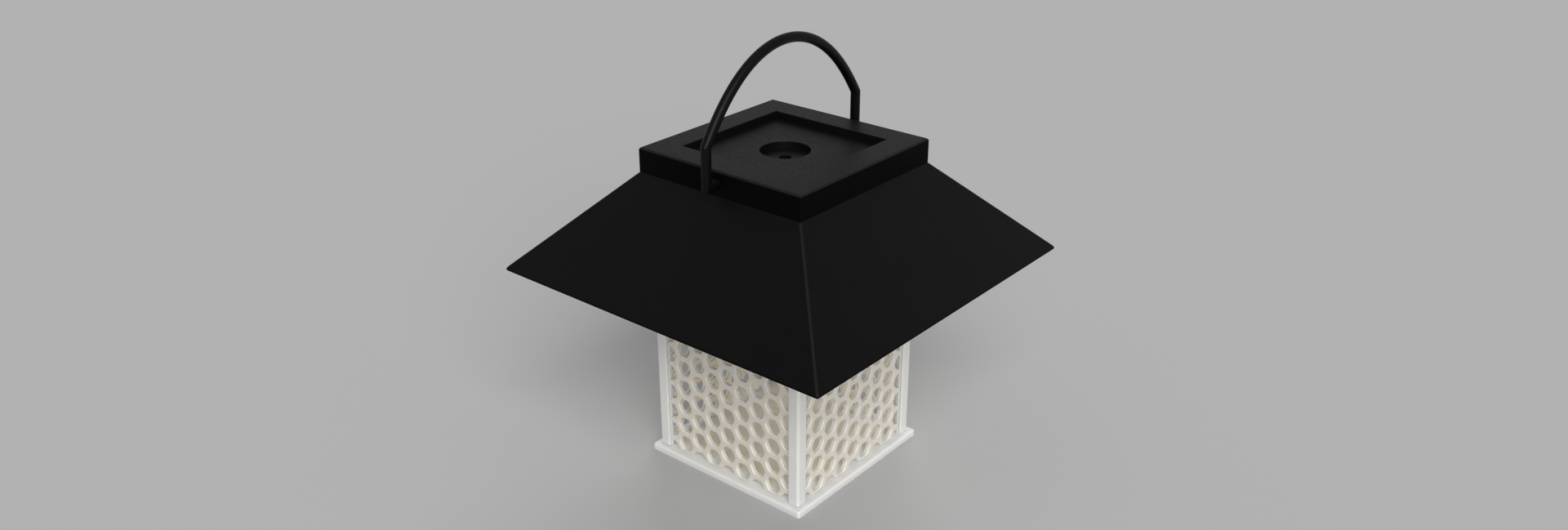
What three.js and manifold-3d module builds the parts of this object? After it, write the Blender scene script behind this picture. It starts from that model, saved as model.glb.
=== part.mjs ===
// Solar hanging light: a square lantern with a hipped roof, a cap with the solar cell's seat, a carrying
// handle that swings on the cap, and a translucent lamp box with honeycomb side panels.
// Millimetres, +Z up. The origin is the centre of the base's underside, the faces are square to X and Y,
// and the handle stands in the plane x = 0.

import * as THREE from 'three';
import { mergeGeometries, mergeVertices } from 'three/addons/utils/BufferGeometryUtils.js';
import Module from 'manifold-3d';

const wasm = await Module();
wasm.setup();

// Base plate and lamp box
const baseSide = 80;          // square base plate
const baseThick = 3;
const baseEdge = 1;           // rounding of the plate's top edge and corners
const boxSide = 75;           // outside of the four corner posts
const boxCorner = 1;          // rounding of a post's outer corner
const postWidth = 5;          // width of a post's leg on each face
const postWall = 3;           // thickness of a post's leg
const postLip = 1;            // front lip that stands proud of the panels
const boxTuck = 2;            // how far the posts reach up behind the eave
const bossSize = 6;           // square screw boss at the top of each post
const bossHeight = 8;

// Honeycomb panels
const panelThick = 2;
const tongueThick = 1;        // thin edge that slides in the post's groove
const tongueLength = 1.4;
const slideFit = 0.1;         // clearance on each side of the tongue
const holeAcrossFlats = 7;
const holePitch = 9;          // up and down, from hole to hole in one column
const columnPitch = 7.875;    // from column to column
const columnCount = 9;
const patternMiddle = 43;     // height of a hole's centre in the odd columns
const panelRail = 5;          // solid rail at the top of a panel

// Roof
const roofSide = 160;         // sharp corner of the eave, before rounding
const roofRise = 40;
const eaveHeight = 86;
const roofWall = 2.4;         // thickness, square to the slope
const roofEdge = 1;           // rounding of the eave
const hipEdge = 0.75;         // rounding of the hips, seen in plan
const roofMouth = 52;         // square opening in the roof's top plate

// Cap
const capSide = 80;
const capHeight = 10;
const capEdge = 1;            // rounding of the cap's top rim
const capCorner = 0.3;        // rounding of the cap's upright corners
const cellSide = 55;          // square solar cell that the seat is made for
const cellSlack = 0.5;        // room around the cell
const cellSeatDepth = 3;
const wellDiameter = 20;      // round well for the cell's solder joints
const wellDepth = 3;
const wireHole = 5;
const capSkin = 2.5;          // thickness left above the core in the cap's underside
const capCoreInset = 16;      // from the cap's side to the core

// Handle
const rodDiameter = 4;
const handleStandoff = 5;     // from the cap's side wall to the leg's axis
const pinInsert = 4.5;        // pin's length inside the cap
const pinClearance = 0.5;     // around the pin and at its end
const legHeight = 15;         // pin to the kink where the arch starts
const archRise = 31;
const archFlatness = 0.83;    // 1 is a parabola, less squares the shoulders

// Electronics tray
const trayWall = 2;
const trayGap = 0.3;          // between the tray's rim and the roof's top plate
const earWidth = 10;
const earThick = 2.4;
const earHeight = 9;          // from the tray's underside to the ear's underside
const earReach = 47;          // centre of the ear's screw
const roofBoss = 8;           // diameter of the bosses under the roof
const gussetThick = 2;

// Screws
const screwShank = 2.4;
const screwHead = 4.6;
const screwHeadHeight = 1.7;
const screwLength = 9;
const capScrewLength = 8;
const screwClearance = 0.3;
const capScrewInset = 9;      // from the cap's side to the screw's axis

// Light source
const ledDiameter = 5;
const ledRim = 5.8;
const ledRimHeight = 1;
const ledLength = 8.6;
const spigotDiameter = 22;    // ring under the tray that carries the diffuser
const spigotWall = 2;
const spigotHeight = 3;
const diffuserWall = 1.2;
const diffuserDepth = 16;
const seatGap = 0.3;          // between round pieces and what they sit on

// Battery
const cellDiameter = 14.2;
const cellLength = 49.2;      // without the nub
const nubDiameter = 5.4;
const nubLength = 1.3;
const cellRim = 0.7;          // slanted edge at both ends of the battery cell
const holderWall = 1.5;
const holderHeight = 11;
const springLength = 2.2;
const springWire = 0.5;
const springTurns = 3;
const springRadius = 4.6;
const springTaper = 2;
const contactThick = 0.5;
const contactWidth = 8;
const contactProud = 3;       // how far a contact stands above the holder
const batteryGap = 9;         // from the tray's middle to the holder

// Control board
const boardLength = 40;
const boardWidth = 20;
const boardThick = 1.6;
const boardStandoff = 3;
const boardGap = 7;           // from the tray's middle to the board
const standoffDiameter = 5;
const chipSize = [5, 4, 1.6];
const inductorDiameter = 6;
const inductorHeight = 5;
const socketSize = [7, 5, 6];
const socketWall = 1;
const boardScrewInset = 3;

// Switch
const switchSize = [12, 5.5, 6];
const switchX = 18;           // centre of the switch along the tray's back wall
const switchHeight = 10;      // from the tray's floor to the switch's underside
const shelfThick = 2;
const knobSize = [3, 3];
const knobProud = 3;          // how far the knob stands out of the wall
const knobDepth = 2.7;        // how far it reaches into the switch
const knobTravel = 3;

// Wires
const wireRadius = 0.6;
const wireInset = 2.5;        // from the board's edge to a soldered end
const wireRise = 3;           // straight run where a wire leaves or meets a part

// How solids are joined and cut
const sink = 0.5;             // how deep a piece reaches into the one that it is joined to
const past = 1;               // how far a cut runs past the face that it opens

// Levels and places worked out from the sizes above
const baseHalf = baseSide / 2;
const boxHalf = boxSide / 2;
const capHalf = capSide / 2;
const roofHalf = roofSide / 2;
const boxTop = eaveHeight + boxTuck;
const trayBottom = boxTop;
const trayHalf = boxHalf;
const trayFloor = trayBottom + trayWall;
const capBase = eaveHeight + roofRise;
const capTop = capBase + capHeight;
const roofCeiling = capBase - roofWall;
const trayTop = roofCeiling - trayGap;
const pinHeight = capBase + capHeight / 2;
const postEnd = boxHalf - postWidth;
const postInner = boxHalf - postWall;
const panelFront = boxHalf - postLip - slideFit;
const panelBack = panelFront - panelThick;
const bossPlace = postInner - bossSize / 2;
const capScrewPlace = capHalf - capScrewInset;
const roofSlope = (roofHalf - capHalf) / roofRise;
const roofShift = roofWall * Math.hypot(1, roofSlope);
const earBottom = trayBottom + earHeight;
const earTop = earBottom + earThick;
const shankRadius = screwShank / 2;
const holeRadius = shankRadius + screwClearance;

// The battery cell lies along X in front of the tray's middle
const holderLength = cellLength + nubLength + springLength + 2 * contactThick + 2 * holderWall + seatGap;
const holderHalf = holderLength / 2;
const bayRadius = cellDiameter / 2 + seatGap;
const cellY = -batteryGap - holderWall - bayRadius;
const cellZ = trayFloor + holderWall + bayRadius;
const nubTip = holderHalf - holderWall - contactThick - seatGap;
const cellEnd = nubTip - nubLength;
const cellStart = cellEnd - cellLength;
const contactTop = trayFloor + holderHeight + contactProud;

// Turns a closed three.js geometry into a solid that can be joined and cut.
function solid(geometry) {
  const bare = geometry.clone();
  bare.deleteAttribute('normal');
  bare.deleteAttribute('uv');
  const merged = mergeVertices(bare, 1e-4);
  return new wasm.Manifold(new wasm.Mesh({
    numProp: 3,
    vertProperties: new Float32Array(merged.attributes.position.array),
    triVerts: new Uint32Array(merged.index.array),
  }));
}

function geometryOf(body) {
  const mesh = body.getMesh();
  const geometry = new THREE.BufferGeometry();
  geometry.setAttribute('position', new THREE.BufferAttribute(mesh.vertProperties, 3));
  geometry.setIndex(new THREE.BufferAttribute(mesh.triVerts, 1));
  geometry.computeVertexNormals();
  return geometry;
}

// The base solid joined with every solid in one list and cut by every solid in another.
function carve(base, joins, cuts) {
  let body = solid(base);
  for (const piece of joins) body = body.add(solid(piece));
  for (const piece of cuts) body = body.subtract(solid(piece));
  return geometryOf(body);
}

function block([x0, x1], [y0, y1], [z0, z1]) {
  const geometry = new THREE.BoxGeometry(x1 - x0, y1 - y0, z1 - z0);
  return geometry.translate((x0 + x1) / 2, (y0 + y1) / 2, (z0 + z1) / 2);
}

function squareBlock(half, z0, z1) {
  return block([-half, half], [-half, half], [z0, z1]);
}

// Upright cylinder.
function post(radius, z0, z1, x = 0, y = 0, sides = 12) {
  const geometry = new THREE.CylinderGeometry(radius, radius, z1 - z0, sides);
  return geometry.rotateX(Math.PI / 2).translate(x, y, (z0 + z1) / 2);
}

// Solid of revolution about Z from a profile of [radius, height] points that starts and ends on the axis.
function turned(profile, sides = 16) {
  const points = profile.map(([radius, height]) => new THREE.Vector2(radius, height));
  return new THREE.LatheGeometry(points, sides).rotateX(Math.PI / 2);
}

function outline(points) {
  return new THREE.Shape(points.map(([x, y]) => new THREE.Vector2(x, y)));
}

function prism(points, z0, z1) {
  const geometry = new THREE.ExtrudeGeometry(outline(points), { depth: z1 - z0, bevelEnabled: false });
  return geometry.translate(0, 0, z0);
}

// Points of an arc about a centre, from one angle to another.
function arc(cx, cy, radius, from, to, steps) {
  return Array.from({ length: steps + 1 }, (_, i) => {
    const angle = from + (to - from) * i / steps;
    return [cx + radius * Math.cos(angle), cy + radius * Math.sin(angle)];
  });
}

function roundedSquare(half, radius, steps = 3) {
  const centre = half - radius;
  const corners = [[1, 1], [-1, 1], [-1, -1], [1, -1]];
  return corners.flatMap(([sx, sy], i) =>
    arc(sx * centre, sy * centre, radius, i * Math.PI / 2, (i + 1) * Math.PI / 2, steps));
}

// Closed skin through a stack of convex rings that have the same number of points.
function loft(rings) {
  const count = rings[0].length;
  const last = (rings.length - 1) * count;
  const index = [];
  for (let ring = 0; ring < rings.length - 1; ring += 1) {
    for (let i = 0; i < count; i += 1) {
      const a = ring * count + i;
      const b = ring * count + (i + 1) % count;
      index.push(a, b, b + count, a, b + count, a + count);
    }
  }
  for (let i = 1; i < count - 1; i += 1) {
    index.push(0, i + 1, i);
    index.push(last, last + i, last + i + 1);
  }
  const geometry = new THREE.BufferGeometry();
  geometry.setAttribute('position', new THREE.Float32BufferAttribute(rings.flat(2), 3));
  geometry.setIndex(index);
  return geometry;
}

// Square block that follows a side profile of [half width, height] points.
function squareLoft(profile, corner) {
  return loft(profile.map(([half, height]) =>
    roundedSquare(half, corner).map(([x, y]) => [x, y, height])));
}

// A section drawn along a smooth curve through points.
function along(section, points, steps) {
  const path = points.map((point) => new THREE.Vector3(...point));
  const extrudePath = new THREE.CatmullRomCurve3(path, false, 'centripetal');
  return new THREE.ExtrudeGeometry(section, { steps, bevelEnabled: false, extrudePath });
}

// Round wire along a smooth curve through points.
function wire(points, radius, sides = 6, steps = 14) {
  const section = outline(arc(0, 0, radius, 0, 2 * Math.PI * (1 - 1 / sides), sides - 1));
  return along(section, points, steps);
}

// Flat lead of two wires side by side in one jacket.
function twinLead(points, radius, steps = 14) {
  const section = outline([...arc(0, radius, radius, 0, Math.PI, 4), ...arc(0, -radius, radius, Math.PI,
    2 * Math.PI, 4)]);
  return along(section, points, steps);
}

// Rod in the plane x = 0 along [y, z] points, mitred where it bends.
function mitredRod(path, radius, sides) {
  const rings = path.map(([y, z], i) => {
    const before = path[Math.max(i - 1, 0)];
    const after = path[Math.min(i + 1, path.length - 1)];
    const into = i ? Math.atan2(z - before[1], y - before[0]) : Math.atan2(after[1] - z, after[0] - y);
    const out = i < path.length - 1 ? Math.atan2(after[1] - z, after[0] - y) : into;
    const half = Math.atan2(Math.sin(out - into), Math.cos(out - into)) / 2;
    const across = into + half - Math.PI / 2;
    const reach = radius / Math.cos(half);
    return Array.from({ length: sides }, (_, k) => {
      const turn = 2 * Math.PI * k / sides;
      const side = reach * Math.sin(turn);
      return [radius * Math.cos(turn), y + side * Math.cos(across), z + side * Math.sin(across)];
    });
  });
  return loft(rings);
}

// The same geometry at four places, a quarter turn apart about Z.
function fourTurned(geometry) {
  return [0, 1, 2, 3].map((k) => geometry.clone().rotateZ(k * Math.PI / 2));
}

// Pan-head screw with its head's seat at height z, its shank pointing up or down.
function screw(x, y, z, length, up = true) {
  const headRadius = screwHead / 2;
  const head = arc(0, 0, 1, -Math.PI / 2, 0, 3).map(([c, s]) => [headRadius * c, screwHeadHeight * s]);
  const shape = turned([...head, [shankRadius, 0], [shankRadius, length], [0, length]], 12);
  if (!up) shape.rotateX(Math.PI);
  return shape.translate(x, y, z);
}

// Finishes
const black = { color: 0x151515, roughness: 0.55, metalness: 0 };
const milky = { color: 0xe9e4d6, roughness: 0.5, metalness: 0 };
const steel = { color: 0xb8bcc0, roughness: 0.35, metalness: 1 };
const light = new THREE.Group();

function add(name, geometry, finish) {
  const mesh = new THREE.Mesh(geometry, new THREE.MeshStandardMaterial(finish));
  mesh.name = name;
  light.add(mesh);
}

// Base plate with four corner posts in one moulding. Each post is an angle with a groove in the end of
// either leg for the panels, and a screw boss inside its top end.
function baseFrame() {
  const plate = squareLoft([
    [baseHalf, 0], [baseHalf, baseThick - baseEdge],
    ...arc(baseHalf - baseEdge, baseThick - baseEdge, baseEdge, 0, Math.PI / 2, 3).slice(1),
  ], baseEdge);
  const grooveFront = boxHalf - postLip;
  const grooveBack = grooveFront - tongueThick - 2 * slideFit;
  const grooveEnd = postEnd + tongueLength + 4 * slideFit;
  const leg = [[postEnd, boxHalf], [postEnd, grooveFront], [grooveEnd, grooveFront],
    [grooveEnd, grooveBack], [postEnd, grooveBack], [postEnd, postInner]];
  const otherLeg = leg.map(([x, y]) => [y, x]).reverse();
  const corner = arc(boxHalf - boxCorner, boxHalf - boxCorner, boxCorner, 0, Math.PI / 2, 3);
  const angle = prism([...leg, [postInner, postInner], ...otherLeg, ...corner], baseThick - sink, boxTop);
  const bossIn = postInner - bossSize;
  const bossOut = panelBack - screwClearance;
  const boss = block([bossIn, bossOut], [bossIn, bossOut], [boxTop - bossHeight, boxTop]);
  const bossRoot = block([postEnd, postInner + sink], [postEnd, postInner + sink],
    [boxTop - bossHeight, boxTop]);
  const pilot = post(holeRadius, boxTop - bossHeight + past, boxTop + past, bossPlace, bossPlace);
  const joins = [angle, boss, bossRoot].flatMap(fourTurned);
  return carve(plate, joins, fourTurned(pilot));
}

// Prisms of the honeycomb holes, side by side along X and Z, clipped to the window between the posts.
function honeycomb() {
  const circumradius = holeAcrossFlats / Math.sqrt(3);
  const windowTop = boxTop - panelRail;
  const reach = 2 * panelThick;
  const holes = [];
  for (let column = 0; column < columnCount; column += 1) {
    const step = column - (columnCount - 1) / 2;
    const shift = Math.abs(step) % 2 === 1 ? 0 : holePitch / 2;
    const lowest = Math.ceil((baseThick - holeAcrossFlats / 2 - patternMiddle - shift) / holePitch);
    const highest = Math.floor((windowTop + holeAcrossFlats / 2 - patternMiddle - shift) / holePitch);
    for (let row = lowest; row <= highest; row += 1) {
      const hexagon = new THREE.CylinderGeometry(circumradius, circumradius, 2 * reach, 6);
      hexagon.rotateY(Math.PI / 2);
      hexagon.translate(step * columnPitch, -panelFront, patternMiddle + shift + row * holePitch);
      holes.push(hexagon);
    }
  }
  const window = block([-postEnd, postEnd], [-panelFront - reach, -panelFront + reach],
    [baseThick - past, windowTop]);
  return solid(mergeGeometries(holes)).intersect(solid(window));
}

// One honeycomb panel, facing -Y: it slides down between two posts on its thin tongues and stands on the
// base plate.
function grillePanel() {
  const tongueEnd = postEnd + tongueLength;
  const shoulder = postEnd - 3 * slideFit;
  const tongueBack = panelFront - tongueThick;
  const plan = prism([[-tongueEnd, -panelFront], [tongueEnd, -panelFront], [tongueEnd, -tongueBack],
    [shoulder, -tongueBack], [shoulder, -panelBack], [-shoulder, -panelBack],
    [-shoulder, -tongueBack], [-tongueEnd, -tongueBack]], baseThick, boxTop);
  return geometryOf(solid(plan).subtract(honeycomb()));
}

// Electronics tray: a square tub that stands on the lamp box and closes it, with four ears that are
// screwed to the roof. The frame screws' heads lie in its corners.
function electronicsTray() {
  const innerHalf = trayHalf - trayWall;
  const tub = carve(prism(roundedSquare(trayHalf, boxCorner), trayBottom, trayTop), [],
    [squareBlock(innerHalf, trayFloor, trayTop + past)]);
  const ear = block([trayHalf - sink, earReach + earWidth / 2], [-earWidth / 2, earWidth / 2],
    [earBottom, earTop]);
  const gussetEnd = earReach - roofBoss / 2 - 2 * screwClearance;
  const gusset = new THREE.ExtrudeGeometry(
    outline([[trayHalf - sink, earTop - sink], [gussetEnd, earTop - sink],
      [trayHalf - sink, earTop + earWidth]]),
    { depth: gussetThick, bevelEnabled: false },
  ).rotateX(Math.PI / 2).translate(0, gussetThick / 2, 0);
  const spigotRadius = spigotDiameter / 2;
  const spigotEnd = trayBottom - spigotHeight;
  const spigot = carve(post(spigotRadius, spigotEnd, trayBottom + sink, 0, 0, 24), [],
    [post(spigotRadius - spigotWall, spigotEnd - past, trayFloor + past, 0, 0, 24)]);
  const standoffs = boardHoles().map(([x, y]) =>
    post(standoffDiameter / 2, trayFloor - sink, trayFloor + boardStandoff, x, y));
  const [switchLength, switchDepth] = switchSize;
  const shelfTop = trayFloor + switchHeight;
  const shelf = block([switchX - switchLength / 2, switchX + switchLength / 2],
    [innerHalf - switchDepth - seatGap, innerHalf + sink], [shelfTop - shelfThick, shelfTop]);
  const joins = [...fourTurned(ear), ...fourTurned(gusset), spigot, ...standoffs, shelf];
  const frameHole = post(holeRadius, trayBottom - past, trayFloor + past, bossPlace, bossPlace);
  const earHole = post(holeRadius, earBottom - past, earTop + past, earReach, 0);
  const boardPilots = boardHoles().map(([x, y]) =>
    post(holeRadius, trayFloor - trayWall / 2, trayFloor + boardStandoff + past, x, y));
  const knobSlot = block(slotSpan(), [innerHalf - past, trayHalf + past], slotHeights());
  const ledHole = post(ledDiameter / 2 + seatGap, trayBottom - past, trayFloor + past, 0, 0, 16);
  return carve(tub, joins,
    [...fourTurned(frameHole), ...fourTurned(earHole), ...boardPilots, knobSlot, ledHole]);
}

// Roof: a hollow square skirt with a top plate, and four bosses under its slopes for the tray's screws.
function roofSkirt() {
  const slopeAngle = Math.atan2(roofRise, roofHalf - capHalf);
  const setBack = roofEdge / Math.tan(slopeAngle / 2);
  const nose = arc(roofHalf - setBack, eaveHeight + roofEdge, roofEdge, -Math.PI / 2,
    Math.PI / 2 - slopeAngle, 6);
  const halfAt = (height) => capHalf + (capBase - height) * roofSlope;
  const outside = squareLoft([...nose, [capHalf, capBase]], hipEdge);
  const innerAt = (height) => halfAt(height) - roofShift;
  const below = eaveHeight - past;
  const inside = squareLoft([[innerAt(below), below], [innerAt(roofCeiling), roofCeiling]], hipEdge);
  const mouth = squareBlock(roofMouth / 2, roofCeiling - past, capBase + past);
  const underSlope = squareLoft([[halfAt(eaveHeight) - sink, eaveHeight],
    [halfAt(roofCeiling) - sink, roofCeiling]], hipEdge);
  const bossBottom = earTop + seatGap;
  const bosses = fourTurned(post(roofBoss / 2, bossBottom, capBase, earReach, 0, 16))
    .map((boss) => geometryOf(solid(boss).intersect(solid(underSlope))));
  const pilot = post(holeRadius, bossBottom - past, earBottom + screwLength + screwClearance, earReach, 0);
  const capHole = post(holeRadius, roofCeiling - past, capBase + past, capScrewPlace, capScrewPlace);
  const shell = carve(outside, [], [inside, mouth]);
  return carve(shell, bosses, [...fourTurned(pilot), ...fourTurned(capHole)]);
}

// Cap: a square block with the solar cell's seat in its top, a round well and a wire hole in the seat,
// and a blind hole in two side walls for the handle's pins.
function capHousing() {
  const body = squareLoft([
    [capHalf, capBase], [capHalf, capTop - capEdge],
    ...arc(capHalf - capEdge, capTop - capEdge, capEdge, 0, Math.PI / 2, 3).slice(1),
  ], capCorner);
  const seatFloor = capTop - cellSeatDepth;
  const wellFloor = seatFloor - wellDepth;
  const seat = squareBlock(cellSide / 2 + cellSlack, seatFloor, capTop + past);
  const well = post(wellDiameter / 2, wellFloor, seatFloor + past, 0, 0, 32);
  const wireWay = post(wireHole / 2, capBase - past, wellFloor + past, 0, 0, 20);
  const wellBoss = post(wellDiameter / 2 + capSkin, capBase - 2 * past, capTop, 0, 0, 32);
  const core = carve(squareBlock(capHalf - capCoreInset, capBase - past, seatFloor - capSkin), [],
    [wellBoss]);
  const pinHoleDepth = pinInsert + pinClearance;
  const pinHoleRadius = rodDiameter / 2 + pinClearance;
  const pinHole = new THREE.CylinderGeometry(pinHoleRadius, pinHoleRadius, pinHoleDepth + past, 20)
    .translate(0, capHalf - (pinHoleDepth - past) / 2, pinHeight);
  const pilot = post(holeRadius, capBase - past, roofCeiling + capScrewLength + screwClearance,
    capScrewPlace, capScrewPlace);
  return carve(body, [],
    [seat, well, wireWay, core, pinHole, pinHole.clone().rotateZ(Math.PI), ...fourTurned(pilot)]);
}

// Handle: one round rod with a pin, an upright leg and half of the arch on either side.
function carryingHandle() {
  const legY = capHalf + handleStandoff;
  const kink = pinHeight + legHeight;
  const archSteps = 22;
  const arch = Array.from({ length: archSteps + 1 }, (_, i) => {
    const share = 2 * i / archSteps - 1;
    const drop = archRise * (archFlatness * share ** 2 + (1 - archFlatness) * share ** 4);
    return [share * legY, kink + archRise - drop];
  });
  const pinEnd = capHalf - pinInsert;
  return mitredRod([[-pinEnd, pinHeight], [-legY, pinHeight], ...arch, [legY, pinHeight],
    [pinEnd, pinHeight]], rodDiameter / 2, 12);
}

// Light source under the tray: a round lens body that hangs by its rim in the tray's floor.
function ledLamp() {
  const radius = ledDiameter / 2;
  const tip = trayFloor + ledRimHeight - ledLength;
  const dome = arc(0, tip + radius, radius, -Math.PI / 2, 0, 4);
  const rimTop = trayFloor + ledRimHeight;
  return turned([...dome, [radius, trayFloor], [ledRim / 2, trayFloor], [ledRim / 2, rimTop], [0, rimTop]]);
}

// Frosted cup with a round bottom, pushed over the spigot under the tray.
function ledDiffuser() {
  const inner = spigotDiameter / 2 + seatGap;
  const outer = inner + diffuserWall;
  const mouth = trayBottom - seatGap;
  const bottom = mouth - diffuserDepth;
  const outside = arc(0, bottom + outer, outer, -Math.PI / 2, 0, 5);
  const inside = arc(0, bottom + outer, inner, 0, -Math.PI / 2, 5);
  return turned([...outside, [outer, mouth], [inner, mouth], ...inside], 24);
}

function batteryHolder() {
  const wide = bayRadius + holderWall;
  const body = block([-holderHalf, holderHalf], [cellY - wide, cellY + wide],
    [trayFloor, trayFloor + holderHeight]);
  const trough = block([-holderHalf + holderWall, holderHalf - holderWall],
    [cellY - bayRadius, cellY + bayRadius], [trayFloor + holderWall, trayFloor + holderHeight + past]);
  return carve(body, [], [trough]);
}

function batteryCell() {
  const radius = cellDiameter / 2;
  const shape = turned([[0, 0], [radius - cellRim, 0], [radius, cellRim], [radius, cellLength - cellRim],
    [radius - cellRim, cellLength], [nubDiameter / 2, cellLength],
    [nubDiameter / 2, cellLength + nubLength], [0, cellLength + nubLength]], 20);
  return shape.rotateY(Math.PI / 2).translate(cellStart, cellY, cellZ);
}

// Cone spring at the cell's flat end: one unbroken coil that narrows towards the cell.
function batterySpring() {
  const start = -holderHalf + holderWall + contactThick + springWire / 2;
  const run = cellStart - seatGap - springWire / 2 - start;
  const steps = springTurns * 12;
  const points = Array.from({ length: steps + 1 }, (_, i) => {
    const turn = 2 * Math.PI * springTurns * i / steps;
    const radius = springRadius - springTaper * i / steps;
    return [start + run * i / steps, cellY + radius * Math.cos(turn), cellZ + radius * Math.sin(turn)];
  });
  return wire(points, springWire / 2, 5, steps);
}

function contactPlate(side) {
  const wall = side * (holderHalf - holderWall);
  const inside = wall - side * contactThick;
  return block([Math.min(wall, inside), Math.max(wall, inside)],
    [cellY - contactWidth / 2, cellY + contactWidth / 2],
    [trayFloor + holderWall, contactTop]);
}

// Control board: it lies on two standoffs of the tray beside the battery.
const boardBottom = trayFloor + boardStandoff;
const boardTop = boardBottom + boardThick;
const boardMiddle = boardGap + boardWidth / 2;

function boardHoles() {
  const x = boardLength / 2 - boardScrewInset;
  const y = boardWidth / 2 - boardScrewInset;
  return [[x, boardMiddle - y], [-x, boardMiddle + y]];
}

function controlBoard() {
  const board = block([-boardLength / 2, boardLength / 2], [boardGap, boardGap + boardWidth],
    [boardBottom, boardTop]);
  return carve(board, [],
    boardHoles().map(([x, y]) => post(holeRadius, boardBottom - past, boardTop + past, x, y)));
}

// A component standing on the board's middle line, centred at x.
function onBoard([length, width, height], x) {
  return block([x - length / 2, x + length / 2], [boardMiddle - width / 2, boardMiddle + width / 2],
    [boardTop, boardTop + height]);
}

function cellSocket() {
  const [length, width, height] = socketSize;
  const place = boardLength / 4;
  const mouth = onBoard([length - 2 * socketWall, width - 2 * socketWall, height], place);
  return carve(onBoard(socketSize, place), [], [mouth.translate(0, 0, socketWall)]);
}

// Slide switch behind the tray's back wall, with its knob through a slot in the wall.
function slotSpan() {
  const slack = (knobSize[0] + knobTravel) / 2 + screwClearance;
  return [switchX - slack, switchX + slack];
}

function slotHeights() {
  const middle = trayFloor + switchHeight + switchSize[2] / 2;
  const slack = knobSize[1] / 2 + screwClearance;
  return [middle - slack, middle + slack];
}

function switchBody() {
  const [length, depth, height] = switchSize;
  const front = trayHalf - trayWall - seatGap;
  const low = trayFloor + switchHeight;
  const body = block([switchX - length / 2, switchX + length / 2], [front - depth, front],
    [low, low + height]);
  const slide = block(slotSpan(), [front - knobDepth - screwClearance, front + past], slotHeights());
  return carve(body, [], [slide]);
}

function switchKnob() {
  const [width, height] = knobSize;
  const left = switchX - (width + knobTravel) / 2;
  const middle = trayFloor + switchHeight + switchSize[2] / 2;
  const root = trayHalf - trayWall - seatGap - knobDepth;
  return block([left, left + width], [root, trayHalf + knobProud],
    [middle - height / 2, middle + height / 2]);
}

// Wires: one from each battery contact, and a flat lead each from the lamp and the switch. They are
// soldered to the board along its edges.
function batteryWire(side) {
  const x = side * (holderHalf - holderWall - contactThick / 2);
  const endX = side * boardLength / 4;
  const endY = boardGap + wireInset;
  return wire([[x, cellY, contactTop], [x, cellY, contactTop + wireRise],
    [(x + endX) / 2, 0, contactTop + wireRise], [endX, endY, boardTop + 2 * wireRise],
    [endX, endY, boardTop]], wireRadius);
}

function ledLead() {
  const start = trayFloor + ledRimHeight;
  const endY = boardGap + wireInset;
  return twinLead([[0, 0, start], [0, 0, start + wireRise], [0, endY / 2, boardTop + 2 * wireRise],
    [0, endY, boardTop + wireRise], [0, endY, boardTop]], wireRadius);
}

function switchLead() {
  const start = trayHalf - trayWall - seatGap - switchSize[1];
  const height = trayFloor + switchHeight + switchSize[2] / 2;
  const endX = boardLength / 4;
  const endY = boardGap + boardWidth - wireInset;
  return twinLead([[switchX, start, height], [switchX, start - wireRise, height],
    [(switchX + endX) / 2, start - wireRise, height - wireRise], [endX, endY, boardTop + wireRise],
    [endX, endY, boardTop]], wireRadius);
}

// Adds screws that are copies of each other, numbered from 1.
function addScrews(name, screws) {
  screws.forEach((shape, i) => add(`${name}_${i + 1}`, shape, steel));
}

add('base_frame', baseFrame(), milky);
const panelNames = ['grille_panel_front', 'grille_panel_right', 'grille_panel_back', 'grille_panel_left'];
fourTurned(grillePanel()).forEach((panel, i) => add(panelNames[i], panel, milky));
add('electronics_tray', electronicsTray(), black);
add('roof_skirt', roofSkirt(), black);
add('cap_housing', capHousing(), black);
add('carrying_handle', carryingHandle(), { ...black, roughness: 0.45 });
add('led_lamp', ledLamp(), { color: 0xf4f1e0, roughness: 0.15, metalness: 0 });
add('led_diffuser', ledDiffuser(), { color: 0xf2eee2, roughness: 0.4, metalness: 0 });
add('battery_holder', batteryHolder(), { color: 0x1b1b1d, roughness: 0.6, metalness: 0 });
add('battery_cell', batteryCell(), { color: 0x5f8f6a, roughness: 0.35, metalness: 0.2 });
add('battery_spring', batterySpring(), steel);
add('battery_contact_minus', contactPlate(-1), steel);
add('battery_contact_plus', contactPlate(1), steel);
add('control_board', controlBoard(), { color: 0x1f6b3a, roughness: 0.45, metalness: 0 });
add('driver_chip', onBoard(chipSize, 0), { color: 0x17181a, roughness: 0.5, metalness: 0 });
add('boost_inductor', post(inductorDiameter / 2, boardTop, boardTop + inductorHeight, -boardLength / 4,
  boardMiddle, 16), { color: 0x33302c, roughness: 0.6, metalness: 0.2 });
add('cell_socket', cellSocket(), { color: 0xe8e3d5, roughness: 0.5, metalness: 0 });
add('switch_body', switchBody(), { color: 0x2a2b2e, roughness: 0.4, metalness: 0.3 });
add('switch_knob', switchKnob(), { color: 0x1a1a1a, roughness: 0.5, metalness: 0 });
add('battery_wire_black', batteryWire(-1), { color: 0x141414, roughness: 0.5, metalness: 0 });
add('battery_wire_red', batteryWire(1), { color: 0xa81d1d, roughness: 0.5, metalness: 0 });
add('led_lead', ledLead(), { color: 0xd8d4c8, roughness: 0.5, metalness: 0 });
add('switch_lead', switchLead(), { color: 0xd8b23a, roughness: 0.5, metalness: 0 });
addScrews('frame_screw', fourTurned(screw(bossPlace, bossPlace, trayFloor, screwLength, false)));
addScrews('cap_screw', fourTurned(screw(capScrewPlace, capScrewPlace, roofCeiling, capScrewLength)));
addScrews('tray_screw', fourTurned(screw(earReach, 0, earBottom, screwLength)));
addScrews('board_screw', boardHoles().map(([x, y]) =>
  screw(x, y, boardTop, boardStandoff + boardThick, false)));

export default light;
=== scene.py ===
from math import cos, hypot, pi, radians, sin, sqrt

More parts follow.
